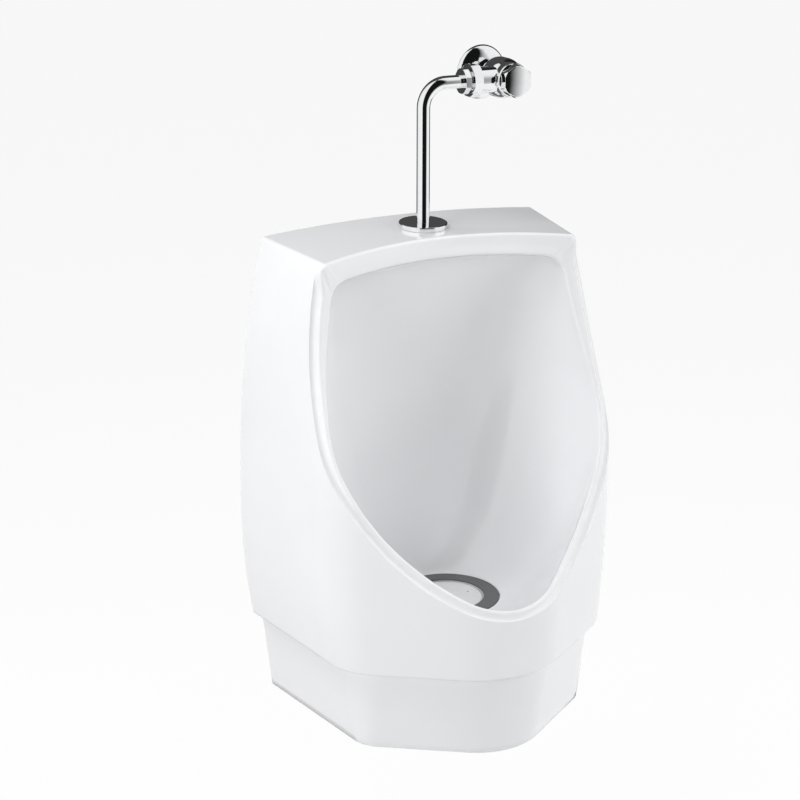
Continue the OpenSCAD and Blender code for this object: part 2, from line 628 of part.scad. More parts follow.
// The supply tube: up from the spud, round the bend and level to the union
run_nut = 59.8;
run_tail = 68.5;
run_coupling = 71.5;
run_neck = 85;
tube_end_x = 72;
tube_low_z = spud_flange_low + gap;
module tube_path(r) {
    translate([0, -supply_d, tube_low_z]) cylinder(r = r, h = stop_z - bend_r - tube_low_z, $fn = fine);
    translate([bend_r, -supply_d, stop_z - bend_r]) rotate([90, 0, 0]) rotate([0, 0, 90])
        rotate_extrude(angle = 90, $fn = fine) translate([bend_r, 0]) circle(r = r, $fn = fine);
    at_run(bend_r) cylinder(r = r, h = tube_end_x - bend_r, $fn = fine);
}
module supply_tube() {
    color("silver") difference() {
        tube_path(tube_r);
        tube_path(tube_r - tube_wall);
        translate([0, -supply_d, tube_low_z - 1]) cylinder(r = tube_r - tube_wall, h = 5, $fn = fine);
        at_run(tube_end_x - 2) cylinder(r = tube_r - tube_wall, h = 5, $fn = fine);
    }
}
tail_boss_r = 14;
nut_wall = 2;
sleeve_t = 2;
module compression_nut() {
    color("silver") difference() {
        at_run(run_nut) nut(35, 8, run_tail - run_nut, tube_r + fit, 22.5);
        at_run(run_nut + nut_wall) cylinder(r = tail_boss_r + fit, h = 20, $fn = fine);
    }
}
module compression_sleeve() {
    color("goldenrod") at_run(run_nut + nut_wall) ring(tail_boss_r - 0.5, tube_r + fit, sleeve_t);
}
tail_r = 12.2;
tail_boss_x = run_nut + nut_wall + sleeve_t;
tail_flange_x = run_coupling + 4;
tail_flange_t = 1.5;
tail_flange_r = 15.5;
module union_tail() {
    color("silver") difference() {
        union() {
            at_run(tail_boss_x) cylinder(r = tail_boss_r, h = run_coupling - gap - tail_boss_x, $fn = fine);
            at_run(run_tail) cylinder(r = tail_r, h = tail_flange_x - run_tail + tail_flange_t, $fn = fine);
            at_run(tail_flange_x) cylinder(r = tail_flange_r, h = tail_flange_t, $fn = fine);
        }
        at_run(run_nut) cylinder(r = tube_r - tube_wall, h = 60, $fn = fine);
        at_run(run_nut) cylinder(r = tube_r + fit, h = tube_end_x - run_nut + gap, $fn = fine);
    }
}
union_washer_x = tail_flange_x + tail_flange_t;
union_washer_t = 2;
module union_washer() { color("dimgray") at_run(union_washer_x) ring(tail_flange_r, 9, union_washer_t); }
neck_r = 19;
coupling_w = 45;
module coupling_nut() {
    color("silver") difference() {
        at_run(run_coupling) nut(coupling_w, 6, run_neck - run_coupling, tail_r + gap, 30);
        at_run(tail_flange_x) cylinder(r = neck_r + fit, h = 30, $fn = fine);
    }
}

// The stop: a body on the inlet pipe, with the outlet to the union and the valve under a cap
stop_back_d = 16;
inlet_r = 10.7;
nipple_in = 12;
seat_d = 54;
chamber_r = 18;
stop_front_d = 90;
stop_end_r = 24;
way_r = 9;
// The bell-shaped outside of the body, as depths from the wall and shares of its full radius
stop_outline = [
    [16, 0.6], [19.6, 0.7], [23, 0.765], [26, 0.815], [29.5, 0.855], [36, 0.883], [42, 0.915],
    [48, 0.965], [54, 1], [68, 1], [72, 0.987], [76, 0.952], [80, 0.88]];
module stop_body() {
    color("silver") difference() {
        union() {
            at_stop(0) rotate_extrude($fn = fine) polygon(concat(
                [[0, stop_back_d]], [for (p = stop_outline) [p[1] * stop_r, p[0]]],
                [[stop_end_r, 83], [stop_end_r, stop_front_d], [0, stop_front_d]]));
            at_run(union_washer_x + union_washer_t)
                cylinder(r = neck_r, h = stop_x - union_washer_x - union_washer_t, $fn = fine);
        }
        at_stop(seat_d) cylinder(r = chamber_r, h = 60, $fn = fine);
        at_stop(stop_back_d) cylinder(r = way_r, h = seat_d - stop_back_d + 1, $fn = fine);
        at_stop(stop_back_d - 1) cylinder(r = inlet_r + fit, h = nipple_in + 1, $fn = fine);
        at_run(run_coupling) cylinder(r = way_r, h = stop_x - run_coupling, $fn = fine);
    }
}
module inlet_nipple() {
    color("goldenrod") at_stop(0) ring(inlet_r, inlet_bore_r, stop_back_d + nipple_in - gap);
}
cover_r = 13.5;
module cover_tube() { color("silver") at_stop(0) ring(cover_r, inlet_r + fit, stop_back_d - gap); }
dome_t = 1.4;
dome_h = 11;
collar_r = 16.5;
collar_d = 13;
module wall_flange() {
    color("silver") at_stop(0) rotate_extrude($fn = fine) polygon(concat(
        [[cover_r + fit, collar_d], [collar_r, collar_d]],
        [for (a = [90:-15:0]) [lerp(collar_r, wall_flange_r, cos(a)), 1.2 + (dome_h - 1.2) * sin(a)]],
        [[wall_flange_r, 0]],
        [for (a = [0:15:90]) [lerp(collar_r, wall_flange_r - dome_t, cos(a)), (dome_h - dome_t) * sin(a)]],
        [[cover_r + fit, dome_h - dome_t]]));
}
bonnet_washer_t = 1.2;
bonnet_r = 24.8;
bonnet_back_d = stop_front_d + bonnet_washer_t;
bonnet_front_d = 97.5;
boss_d = bonnet_front_d + 5.5;
boss_r = 16;
stem_r = 6;
o_ring_d = stop_front_d - 4;
module stop_bonnet() {
    color("silver") difference() {
        union() {
            at_stop(bonnet_back_d) rotate_extrude($fn = fine) polygon([
                [0, 0], [bonnet_r, 0], [bonnet_r, 4], [bonnet_r - 1.8, bonnet_front_d - bonnet_back_d],
                    [0, bonnet_front_d - bonnet_back_d]]);
            at_stop(stop_front_d - 10) cylinder(r = chamber_r - fit, h = 12, $fn = fine);
            at_stop(bonnet_front_d - 1) cylinder(r = boss_r, h = boss_d - bonnet_front_d + 1, $fn = fine);
        }
        at_stop(seat_d) cylinder(r = stem_r + fit, h = 80, $fn = fine);
        at_stop(o_ring_d - 1.3) cylinder(r = stem_r + 2.6, h = 2.6, $fn = fine);
    }
}
module bonnet_washer() { color("dimgray") at_stop(stop_front_d) ring(stop_end_r - 0.6, chamber_r,
    bonnet_washer_t); }
module stem_o_ring() { color("dimgray") at_stop(o_ring_d) rotate_extrude($fn = fine)
    translate([stem_r + fit + 1.2, 0]) circle(r = 1.15, $fn = 32); }
plunger_d = seat_d + stop_lift;
plunger_washer_t = 3;
stem_front_d = boss_d + 2.5;
module plunger_washer() { color("dimgray") at_stop(plunger_d) ring(13.5, 3, plunger_washer_t); }
module stop_plunger() {
    color("goldenrod") at_stop(plunger_d + plunger_washer_t) difference() {
        cylinder(r = 14.5, h = 6, $fn = fine);
        translate([0, 0, 2]) cylinder(r = stem_r + fit, h = 10, $fn = fine);
    }
}
module stop_stem() {
    color("goldenrod") difference() {
        at_stop(plunger_d + plunger_washer_t + 2 + fit) cylinder(r = stem_r,
            h = stem_front_d - plunger_d - plunger_washer_t - 2, $fn = fine);
        translate([stop_x - 10, -stem_front_d - 1, stop_z - 0.8]) cube([20, 3.5, 1.6]);
    }
}
cap_front_d = 110.5;
cap_dome = 1;
// A six-sided cap whose corners are turned down to its slightly domed front
module stop_cap() {
    cap_h = cap_front_d - bonnet_front_d;
    corner = cap_w / 2 / cos(30);
    face_r = cap_w / 2 + 0.8;
    color("silver") at_stop(bonnet_front_d) difference() {
        intersection() {
            bar(cap_w, 6, cap_h + cap_dome + 1, 30);
            rotate_extrude($fn = fine) polygon(concat(
                [[0, 0], [corner + 0.5, 0], [corner + 0.5, cap_h - 5]],
                [for (t = [1:-0.125:0]) [face_r * t, cap_h + cap_dome * (1 - t * t)]]));
        }
        translate([0, 0, -1]) cylinder(r = boss_r + fit, h = 1 + boss_d - bonnet_front_d + gap, $fn = fine);
        cylinder(r = 10, h = stem_front_d - bonnet_front_d + 1.5, $fn = fine);
    }
}

// The rinse line: an elbow on the spud's tail, a hose down behind the bowl and a valve at the housing's port
hose_sides = 14;
elbow_r = 8;
elbow_nut_drop = 4.5;
elbow_z = spud_tail_z - elbow_nut_drop - elbow_r - gap;
barb_r = (hose_r - hose_wall) * cos(180 / hose_sides) - gap;
barb_l = 10;
barb_bore_r = barb_r - 1.75;
elbow_end_d = supply_d - 12;
module rinse_elbow() {
    color("goldenrod") difference() {
        union() {
            at_spud(elbow_z) cylinder(r = elbow_r, h = spud_tail_z - elbow_z, $fn = fine);
            at_spud(spud_tail_z - 1.5) cylinder(r = elbow_r + 2, h = 1.5, $fn = fine);
            at_spud(elbow_z) sphere(r = elbow_r, $fn = fine);
            translate([0, -supply_d, elbow_z]) rotate([-90, 0, 0]) cylinder(r = elbow_r,
                h = supply_d - elbow_end_d, $fn = fine);
            translate([0, -supply_d, elbow_z]) rotate([-90, 0, 0]) cylinder(r = barb_r,
                h = supply_d - elbow_end_d + barb_l, $fn = fine);
        }
        at_spud(elbow_z) cylinder(r = barb_bore_r, h = 60, $fn = fine);
        translate([0, -supply_d, elbow_z]) rotate([-90, 0, 0]) cylinder(r = barb_bore_r, h = 80,
            $fn = fine);
    }
}
module elbow_nut() {
    color("goldenrod") difference() {
        at_spud(spud_tail_z - elbow_nut_drop) nut(28, 6, 14, elbow_r + gap);
        at_spud(spud_tail_z - 1.5 - fit) cylinder(r = spud_tail_r + fit, h = 40, $fn = fine);
    }
}

// Parts of the rinse valve, which lies along x at the left of the housing
valve_z = port_z;
valve_x = -(housing_r + 43);
valve_front_x = valve_x - 12;
valve_back_x = valve_x + 20;
valve_half = 17;
inlet_x = valve_x - 4;
seat_x = valve_x + 4;
guide_end_x = valve_x - 52;
armature_r = 6;
rinse_lift = 3;
module at_valve(x) { translate([x, -drain_d, valve_z]) rotate([0, 90, 0]) children(); }
module at_inlet(y) { translate([inlet_x, y, valve_z]) rotate([-90, 0, 0]) children(); }
inlet_y = -drain_d + valve_half;
tube_in = 8;
module rinse_valve() {
    color("whitesmoke") difference() {
        union() {
            translate([valve_front_x, -drain_d - valve_half, valve_z - 15])
                cube([valve_back_x - valve_front_x, 2 * valve_half, 30]);
            at_valve(guide_end_x) cylinder(r = 8, h = valve_x - guide_end_x, $fn = fine);
            at_valve(valve_x) cylinder(r = port_bore_r - fit, h = -port_x + tube_in - valve_x, $fn = fine);
            at_valve(-port_x - 2.2) cylinder(r = port_r - 1.5, h = 2, $fn = fine);
            at_inlet(inlet_y - 1) cylinder(r = barb_r, h = barb_l + 1, $fn = fine);
        }
        at_valve(valve_front_x + 2) cylinder(r = 9, h = seat_x - valve_front_x - 2, $fn = fine);
        at_valve(seat_x - 1) cylinder(r = barb_bore_r, h = 80, $fn = fine);
        at_valve(guide_end_x + 2) cylinder(r = armature_r + fit, h = valve_x - guide_end_x, $fn = fine);
        at_inlet(-drain_d) cylinder(r = barb_bore_r, h = 60, $fn = fine);
    }
}
module valve_nut() {
    color("white") difference() {
        at_valve(-port_x - 6) nut(26, 6, 16, port_bore_r + gap);
        at_valve(-port_x - 2.2 - fit) cylinder(r = port_r + fit, h = 30, $fn = fine);
    }
}
module rinse_plunger() {
    color("dimgray") difference() {
        at_valve(guide_end_x + 2 + rinse_lift + 1) cylinder(r = armature_r,
            h = seat_x - fit - guide_end_x - rinse_lift - 3, $fn = fine);
        at_valve(guide_end_x + rinse_lift) cylinder(r = 2, h = 12, $fn = fine);
    }
}
coil_l = 32;
coil_x = valve_front_x - coil_l - 1;
module solenoid_coil() {
    color("dimgray") difference() {
        translate([coil_x, -drain_d - 15, valve_z - 15]) cube([coil_l, 30, 30]);
        at_valve(coil_x - 1) cylinder(r = 8 + fit, h = coil_l + 2, $fn = fine);
    }
}

// The control box on the wall under the rinse line, with its lid and battery
box_x = -178;
box_z = -58;
box_w = 86;
box_h = 52;
box_d = 34;
box_wall = 2;
box_lid_t = 3;
module control_box() {
    color("dimgray") difference() {
        translate([box_x, -box_d, box_z]) cube([box_w, box_d, box_h]);
        translate([box_x + box_wall, -box_d - 1, box_z + box_wall])
            cube([box_w - 2 * box_wall, box_d - box_wall + 1, box_h - 2 * box_wall]);
        // Cable hole in the top
        translate([cable_end[0], cable_end[1], box_z + box_h - box_wall - 1])
            cylinder(r = cable_r + gap, h = 5, $fn = 32);
    }
}
module control_box_lid() {
    color("dimgray") union() {
        translate([box_x, -box_d - box_lid_t, box_z]) cube([box_w, box_lid_t, box_h]);
        translate([box_x + box_wall + gap, -box_d - 1, box_z + box_wall + gap])
            cube([box_w - 2 * box_wall - 2 * gap, 4, box_h - 2 * box_wall - 2 * gap]);
    }
}
module battery_pack() {
    color("steelblue") for (k = [0, 1])
        translate([box_x + box_wall + 2, -box_wall - 8.5, box_z + box_wall + 9.5 + k * 18])
            rotate([0, 90, 0]) cylinder(r = 8.5, h = 34, $fn = fine);
}

// Hoses and cables: round sections swept along a smooth way through a few points
function way_points(list, n) =
    let (first = 2 * list[0] - list[1], last = 2 * list[len(list) - 1] - list[len(list) - 2])
    [for (k = [0:n]) through(list, first, last, min(0.99999, k / n))];
module sweep(list, r, n, sides, bore = 0) {
    pts = way_points(list, n);
    function hoop(k, r) =
        let (t = unit(pts[min(n, k + 1)] - pts[max(0, k - 1)]),
             side = unit(cross([1, 0.2, 0.1], t)), up = cross(t, side))
        [for (j = [0:sides - 1]) pts[k] + r * (cos(360 * j / sides) * side + sin(360 * j / sides) * up)];
    function wall(first, flip) =
        [for (k = [0:n - 1], j = [0:sides - 1])
            let (a = first + k * sides + j, b = first + k * sides + (j + 1) % sides)
            each (flip ? [[a, b + sides, b], [a, a + sides, b + sides]]
                : [[a, b, b + sides], [a, b + sides, a + sides]])];
    // An end is a fan to the way's own end point, or a flat ring between the outside and the bore
    function disc(first, middle, flip) =
        [for (j = [0:sides - 1]) let (a = first + j, b = first + (j + 1) % sides) flip ? [middle, b, a]
            : [middle, a, b]];
    function annulus(outer, inner, flip) =
        [for (j = [0:sides - 1])
            let (a = outer + j, b = outer + (j + 1) % sides, c = inner + j, d = inner + (j + 1) % sides)
            each (flip ? [[c, b, a], [c, d, b]] : [[c, a, b], [c, b, d]])];
    count = (n + 1) * sides;
    polyhedron(
        points = concat([for (k = [0:n]) each hoop(k, r)],
            bore > 0 ? [for (k = [0:n]) each hoop(k, bore)] : [pts[0], pts[n]]),
        faces = bore > 0
            ? concat(wall(0, false), wall(count, true), annulus(0, count, true),
                annulus(n * sides, count + n * sides, false))
            : concat(wall(0, false), disc(0, count, true), disc(n * sides, count + 1, false)));
}
hose_start = [0, -elbow_end_d + 0.5, elbow_z];
hose_end = [inlet_x, inlet_y + 0.5, valve_z];
// Height of the hose at a share of its way up from the valve to the elbow
function hose_z(share) = lerp(valve_z, elbow_z, share);
hose_way = [
    hose_start, hose_start + [0, barb_l, 0], hose_start + [0, 2 * barb_l, 0], hose_start + [-1, 32, -4],
    hose_start + [-4, 44, -17], hose_start + [-11, 46, -44], [-35, -18, hose_z(0.82)],
    [-75, -20, hose_z(0.643)], [-112, -20, hose_z(0.426)], [-122, -22, hose_z(0.245)],
    [-114, -32, hose_z(0.118)], [inlet_x - 4, -55, valve_z + 24], hose_end + [-1, 54, 7],
    hose_end + [0, 32, 1], hose_end + [0, 18, 0], hose_end + [0, barb_l, 0], hose_end];
module rinse_hose() { color("whitesmoke") sweep(hose_way, hose_r, 48, hose_sides, hose_r - hose_wall); }
module hose_clamps() {
    color("silver") for (p = [hose_start + [0, 3, 0], hose_end + [0, 3, 0]])
        translate(p) rotate([-90, 0, 0]) ring(hose_r + 1, hose_r + fit, 6);
}
cable_r = 2;
cable_end = [-140, -16, box_z + box_h - box_wall - 6];
cable_way = [
    [coil_x + coil_l / 2, -drain_d, valve_z - 15.2], [coil_x + coil_l / 2, -drain_d, valve_z - 26],
    [coil_x + 6, -drain_d + 20, 5], [-145, -80, -5], [-142, -35, 8], [-140, -16, 6], cable_end];
module coil_cable() { color("black") sweep(cable_way, cable_r, 30, 10); }

china_body();
wall_hanger(-1);  // wall_hanger_left
wall_hanger(1);  // wall_hanger_right
drain_housing();
housing_gasket();
clamp_washer();
clamp_ring();
trim_ring();
cartridge_body();
cartridge_lid();
cartridge_baffle();
cartridge_o_rings();
outlet_pipe();
outlet_nut();
outlet_washer();
outlet_gasket();
spud_body();
spud_gasket();
spud_washer();
spud_locknut();
tube_seal();
spud_flange();
supply_tube();
compression_nut();
compression_sleeve();
union_tail();
union_washer();
coupling_nut();
stop_body();
inlet_nipple();
cover_tube();
wall_flange();
stop_bonnet();
bonnet_washer();
stop_cap();
stop_stem();
stem_o_ring();
stop_plunger();
plunger_washer();
rinse_elbow();
elbow_nut();
rinse_hose();
hose_clamps();
rinse_valve();
valve_nut();
solenoid_coil();
rinse_plunger();
coil_cable();
control_box();
control_box_lid();
battery_pack();
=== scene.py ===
"""The looks of a wall-hung waterless urinal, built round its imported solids."""

import json
import math

import bmesh
import bpy
import numpy as np
from mathutils import Matrix, Vector


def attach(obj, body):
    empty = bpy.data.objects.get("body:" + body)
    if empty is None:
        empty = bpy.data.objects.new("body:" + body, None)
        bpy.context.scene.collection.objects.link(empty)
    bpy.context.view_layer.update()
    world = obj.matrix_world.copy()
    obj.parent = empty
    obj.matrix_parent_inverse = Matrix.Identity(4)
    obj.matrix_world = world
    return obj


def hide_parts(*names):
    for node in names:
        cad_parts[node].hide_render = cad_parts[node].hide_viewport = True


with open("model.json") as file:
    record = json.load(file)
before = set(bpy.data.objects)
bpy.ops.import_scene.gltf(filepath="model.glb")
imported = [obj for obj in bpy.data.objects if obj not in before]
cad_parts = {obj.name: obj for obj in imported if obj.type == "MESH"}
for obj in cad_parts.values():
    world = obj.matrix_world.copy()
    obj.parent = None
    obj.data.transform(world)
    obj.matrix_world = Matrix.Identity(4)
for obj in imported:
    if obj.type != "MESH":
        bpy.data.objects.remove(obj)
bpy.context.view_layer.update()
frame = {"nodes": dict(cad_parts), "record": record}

MM = 0.001

# Camera: the photograph's view, in metres and degrees
CAMERA_AT = (-1.22375, -2.43855, 1.24248)
CAMERA_YAW = 26.62
CAMERA_PITCH = 18.07
CAMERA_LENS = 84.71

# Ware: the same sizes as in the solid, in millimetres; a gain is how much one grows upwards
BELLY_HALF_W = 265
BELLY_Z = 230
BULGE = 2.3
TOP_HALF_W = 223
TOP_Z = 630
CROWN = 11
TOP_FALL = 0.055
STEP_HALF_W = 250
STEP_Z = 49
SIDE_TAPER = 0.14
RIDGE_DEPTH = 398
RIDGE_GAIN = 4
FRONT_SLOPE = 0.68
CORNER_R = 92
CORNER_GAIN = 8
NOSE_R = 140
NOSE_GAIN = 10
CLAY = 11
EDGE_R = 7
FACE_DEPTH = 132
FACE_HOLLOW = 34
FACE_HALF_W = 200
FRAME_W = 34
FRAME_TOP_FALL = 15
FRAME_LIP_FALL = 3
OPENING_HALF_W = 150
OPENING_ARCH = 1.3
OPENING_DROP = 8
OPENING_BACK = 3
OPENING_SOFT = 5
COVE = 8
COVE_RUN = 8
FRAME_SIDE = 5
RIM_R = 4
LIP_Z = 150
SKIRT_TOP_HALF_W = 236
SKIRT_FOOT_HALF_W = 222
SKIRT_TAPER = SIDE_TAPER + 0.02
SKIRT_RIDGE_DEPTH = 366
SKIRT_RIDGE_GAIN = 18
SKIRT_CORNER_R = 50
SKIRT_CORNER_GAIN = 30
SKIRT_NOSE_R = 103
SKIRT_NOSE_GAIN = 25
SKIRT_EDGE = 1.5
SKIRT_DROP = 77
DRAIN_D = 153
SEAT_Z = 91
SEAT_R = 79.3
SEAT_DEPTH = 5
HOLE_R = 58.5


def make_camera():
    data = bpy.data.cameras.new("camera")
    data.lens = CAMERA_LENS
    data.sensor_width = 36
    data.clip_end = 60
    cam = bpy.data.objects.new("camera", data)
    cam.location = CAMERA_AT
    cam.rotation_euler = (math.radians(90 - CAMERA_PITCH), 0, math.radians(-CAMERA_YAW))
    bpy.context.scene.collection.objects.link(cam)
    bpy.context.scene.camera = cam


make_camera()


# Helpers for points and curves
def lerp(a, b, t):
    return a + (b - a) * t


def clamp01(t):
    return min(1.0, max(0.0, t))


def ease(t):
    return t * t * (3 - 2 * t)


def bezier2(a, b, c, t):
    return (1 - t) ** 2 * a + 2 * (1 - t) * t * b + t * t * c


def bezier3(a, b, c, d, t):
    return (1 - t) ** 3 * a + 3 * (1 - t) ** 2 * t * b + 3 * (1 - t) * t * t * c + t ** 3 * d


def hermite(a, b, c, d, t):
    bend = 2 * a - 5 * b + 4 * c - d
    twist = 3 * b - a - 3 * c + d
    return 0.5 * (2 * b + (c - a) * t + bend * t * t + twist * t ** 3)


def through(points, before, after, t):
    """A smooth curve through a list of points, with one point before and one after it, t from 0 to 1."""
    n = len(points) - 1
    i = min(n - 1, int(t * n))
    first = before if i == 0 else points[i - 1]
    last = after if i == n - 1 else points[i + 2]
    return hermite(first, points[i], points[i + 1], last, t * n - i)


def unit(v):
    return v / np.linalg.norm(v)


def point(x, y, z):
    return np.array([x, y, z], float)


# Plan outlines: half width, taper, ridge depth, front slope, corner radius and nose radius
def plan_parts(p):
    """Angles, tangent points and lengths of an outline's side, corner, flat front and nose."""
    w, k, tip, m, rc, rn = p
    a = math.atan(m)
    turn = math.pi / 2 - a - math.atan(k)
    dc = (tip - m * w) / (1 - m * k)
    xc = w - k * dc
    tc = rc * math.tan(turn / 2)
    xt = rn * math.sin(a)
    d0 = tip - rn / math.cos(a)
    dt = d0 + rn * math.cos(a)
    nose = rn * a
    flat = math.hypot(xc - xt, dc - dt) - tc
    side = math.hypot(w - xc, dc) - tc
    return a, turn, tc, xc, dc, xt, dt, d0, nose, flat, rc * turn, side


def plan_len(p):
    return sum(plan_parts(p)[8:12])


def plan_at(p, q):
    """Half width, depth and outward normal of the left half, a share q of the way from wall to nose."""
    a, turn, tc, xc, dc, xt, dt, d0, nose, flat, corner, side = plan_parts(p)
    rc, rn = p[4], p[5]
    s = (1 - q) * (nose + flat + corner + side)
    s2 = nose + flat
    s3 = s2 + corner
    cx = xc - tc * math.cos(a) - rc * math.sin(a)
    cd = dc + tc * math.sin(a) - rc * math.cos(a)
    if s < nose:
        g = s / rn
        return rn * math.sin(g), d0 + rn * math.cos(g), math.sin(g), math.cos(g)
    if s < s2:
        return xt + (s - nose) * math.cos(a), dt - (s - nose) * math.sin(a), math.sin(a), math.cos(a)
    g = a + (s - s2) / rc if s < s3 else a + turn
    past = max(0.0, s - s3)
    return (cx + rc * math.sin(g) + past * math.cos(g), cd + rc * math.cos(g) - past * math.sin(g),
            math.sin(g), math.cos(g))


def half_w(z):
    if z > BELLY_Z:
        return BELLY_HALF_W - (BELLY_HALF_W - TOP_HALF_W) * ((z - BELLY_Z) / (TOP_Z - BELLY_Z)) ** BULGE
    return BELLY_HALF_W - (BELLY_HALF_W - STEP_HALF_W) * ((BELLY_Z - z) / (BELLY_Z - STEP_Z)) ** BULGE


def body_plan(z):
    f = clamp01((z - STEP_Z) / (BELLY_Z - STEP_Z))
    return (half_w(z), SIDE_TAPER, RIDGE_DEPTH + RIDGE_GAIN * f, FRONT_SLOPE,
            CORNER_R + CORNER_GAIN * f, NOSE_R + NOSE_GAIN * f)


def skirt_plan(f):
    return (lerp(SKIRT_FOOT_HALF_W, SKIRT_TOP_HALF_W, f), SKIRT_TAPER,
            SKIRT_RIDGE_DEPTH + SKIRT_RIDGE_GAIN * f, FRONT_SLOPE,
            SKIRT_CORNER_R + SKIRT_CORNER_GAIN * f, SKIRT_NOSE_R + SKIRT_NOSE_GAIN * f)


def on_plan(p, q, z, v):
    x, d, nx, nd = plan_at(p, q)
    return point(-(x - v * nx), -max(0.0, d - v * nd), z)


def on_body(q, z, v):
    return on_plan(body_plan(z), q, z, v)


def top_at(x, d):
    return TOP_Z + CROWN * (1 - (x / TOP_HALF_W) ** 2) - TOP_FALL * d


def face_at(x):
    return FACE_DEPTH + FACE_HOLLOW * (x / FACE_HALF_W) ** 2


# The rim, in shares of the way from the wall and heights
TOP_CORNER_D = face_at(196)
RIM_TOP_Z = TOP_Z - TOP_FALL * TOP_CORNER_D - EDGE_R
RIM_WAY = [np.array(p, float) for p in (
    (0.338, RIM_TOP_Z), (0.345, 555), (0.368, 487), (0.412, 418), (0.466, 359), (0.542, 303),
    (0.63, 247), (0.73, 202), (0.823, 173), (0.91, LIP_Z + 6), (1, LIP_Z))]
RIM_BEFORE = np.array((0.337, RIM_TOP_Z + 60))
RIM_AFTER = np.array((1.09, LIP_Z + 6))


def rim_qz(v):
    return through(RIM_WAY, RIM_BEFORE, RIM_AFTER, v)


def rim_dir(v):
    if v > 0.999:
        return np.array((0.0, 1.0))
    e = 0.004
    a, b = rim_qz(max(0, v - e)), rim_qz(min(1, v + e))
    return unit(np.array((a[1] - b[1], (b[0] - a[0]) * plan_len(body_plan(a[1])))))


# Meridians round the opening, from the top's centre to the lip
N_TOP, N_SHOULDER, N_CORNER, N_CHEEK, N_SIDE = 8, 3, 4, 3, 32
I_SHOULDER = N_TOP
I_CORNER = I_SHOULDER + N_SHOULDER
I_CHEEK = I_CORNER + N_CORNER
I_SIDE = I_CHEEK + N_CHEEK
N_ALL = I_SIDE + N_SIDE
CHEEK_V = 0.1
WALL_V = 0.55
I_WALL = I_SIDE + math.ceil(N_SIDE * (WALL_V - CHEEK_V) / (1 - CHEEK_V))
STEP_NOSE, _, STEP_CORNER, STEP_SIDE = plan_parts(body_plan(STEP_Z))[8:12]
STEP_LEN = plan_len(body_plan(STEP_Z))
STEP_STOPS = (0, STEP_SIDE / STEP_LEN, (STEP_SIDE + STEP_CORNER) / STEP_LEN, 1 - STEP_NOSE / STEP_LEN, 1)
STEP_SHARES = (0, 0.13, 0.45, 0.55, 1)
CORNER_X = TOP_HALF_W - SIDE_TAPER * TOP_CORNER_D - EDGE_R


def side_v(i):
    if i <= I_SIDE:
        return CHEEK_V * (i - I_CHEEK) / N_CHEEK
    return CHEEK_V + (1 - CHEEK_V) * (i - I_SIDE) / N_SIDE


def step_q(i):
    """Where meridian i meets the step, as a share of the way from the wall to the nose."""
    return float(np.interp((i - I_WALL) / (N_ALL - I_WALL), STEP_SHARES, STEP_STOPS))


def top_x(i):
    if i <= I_SHOULDER:
        return OPENING_HALF_W * i / N_TOP
    return lerp(OPENING_HALF_W, CORNER_X, (i - I_SHOULDER) / N_SHOULDER)


def on_top(i, d, v):
    inner = half_w(TOP_Z - EDGE_R) - SIDE_TAPER * d - EDGE_R
    if i <= I_CORNER:
        x = top_x(i) / CORNER_X * inner
        return point(-x, -d, top_at(x, d) - v)
    a = math.pi / 2 * (1 - (i - I_CORNER) / N_CORNER)
    r = EDGE_R - v
    return point(-(inner + r * math.cos(a)), -d, top_at(inner, d) - EDGE_R + r * math.sin(a))


def cove_at(i):
    if i <= I_CHEEK:
        return 0.0
    v = side_v(i)
    return COVE * ease(clamp01(v / 0.06)) * lerp(1, 0.5, clamp01((v - 0.75) / 0.25))


def frame_at(v):
    return lerp(FRAME_TOP_FALL, FRAME_LIP_FALL, ease(clamp01((v - 0.05) / 0.35)))


ARC = [math.radians(a) for a in range(0, 91, 15)]


def profile(i):
    """The cove and the round of the rim: pairs of a way along the skin and a depth below it."""
    c = cove_at(i)
    cove = [(-FRAME_SIDE - COVE_RUN * math.cos(a), c * math.sin(a)) for a in ARC]
    return cove + [(-RIM_R + RIM_R * math.sin(a), c + RIM_R - RIM_R * math.cos(a)) for a in ARC]


def front_edge(i):
    return face_at(top_x(i)) if i <= I_CORNER else TOP_CORNER_D


def skin_point(i, u, v):
    """A point u along the skin from the rim, and v below it."""
    if i < I_CHEEK:
        return on_top(i, front_edge(i) + u, v)
    r, f = rim_qz(side_v(i)), rim_dir(side_v(i))
    return on_body(min(1, r[0] + u * f[0] / plan_len(body_plan(r[1]))), r[1] + u * f[1], v)


def edge_side(i):
    return skin_point(i, -2, cove_at(i) + RIM_R + frame_at(side_v(i)))


def edge_at(i):
    """The edge of the opening, inside the frame."""
    if i <= I_SHOULDER:
        x = top_x(i)
        rise = (OPENING_ARCH ** 2 - 1) * CROWN * (OPENING_HALF_W / TOP_HALF_W) ** 2
        z = top_at(x * OPENING_ARCH, 0) - OPENING_DROP - FRAME_W + rise
        return point(-x, -(face_at(x) - OPENING_BACK), z)
    if i >= I_SIDE:
        return edge_side(i)
    a, b = edge_at(I_SHOULDER), edge_side(I_SIDE)
    share = (i - I_SHOULDER) / (I_SIDE - I_SHOULDER)
    return bezier2(a, point(b[0] + 3, lerp(a[1], b[1], 0.6), a[2] - 1), b, share)


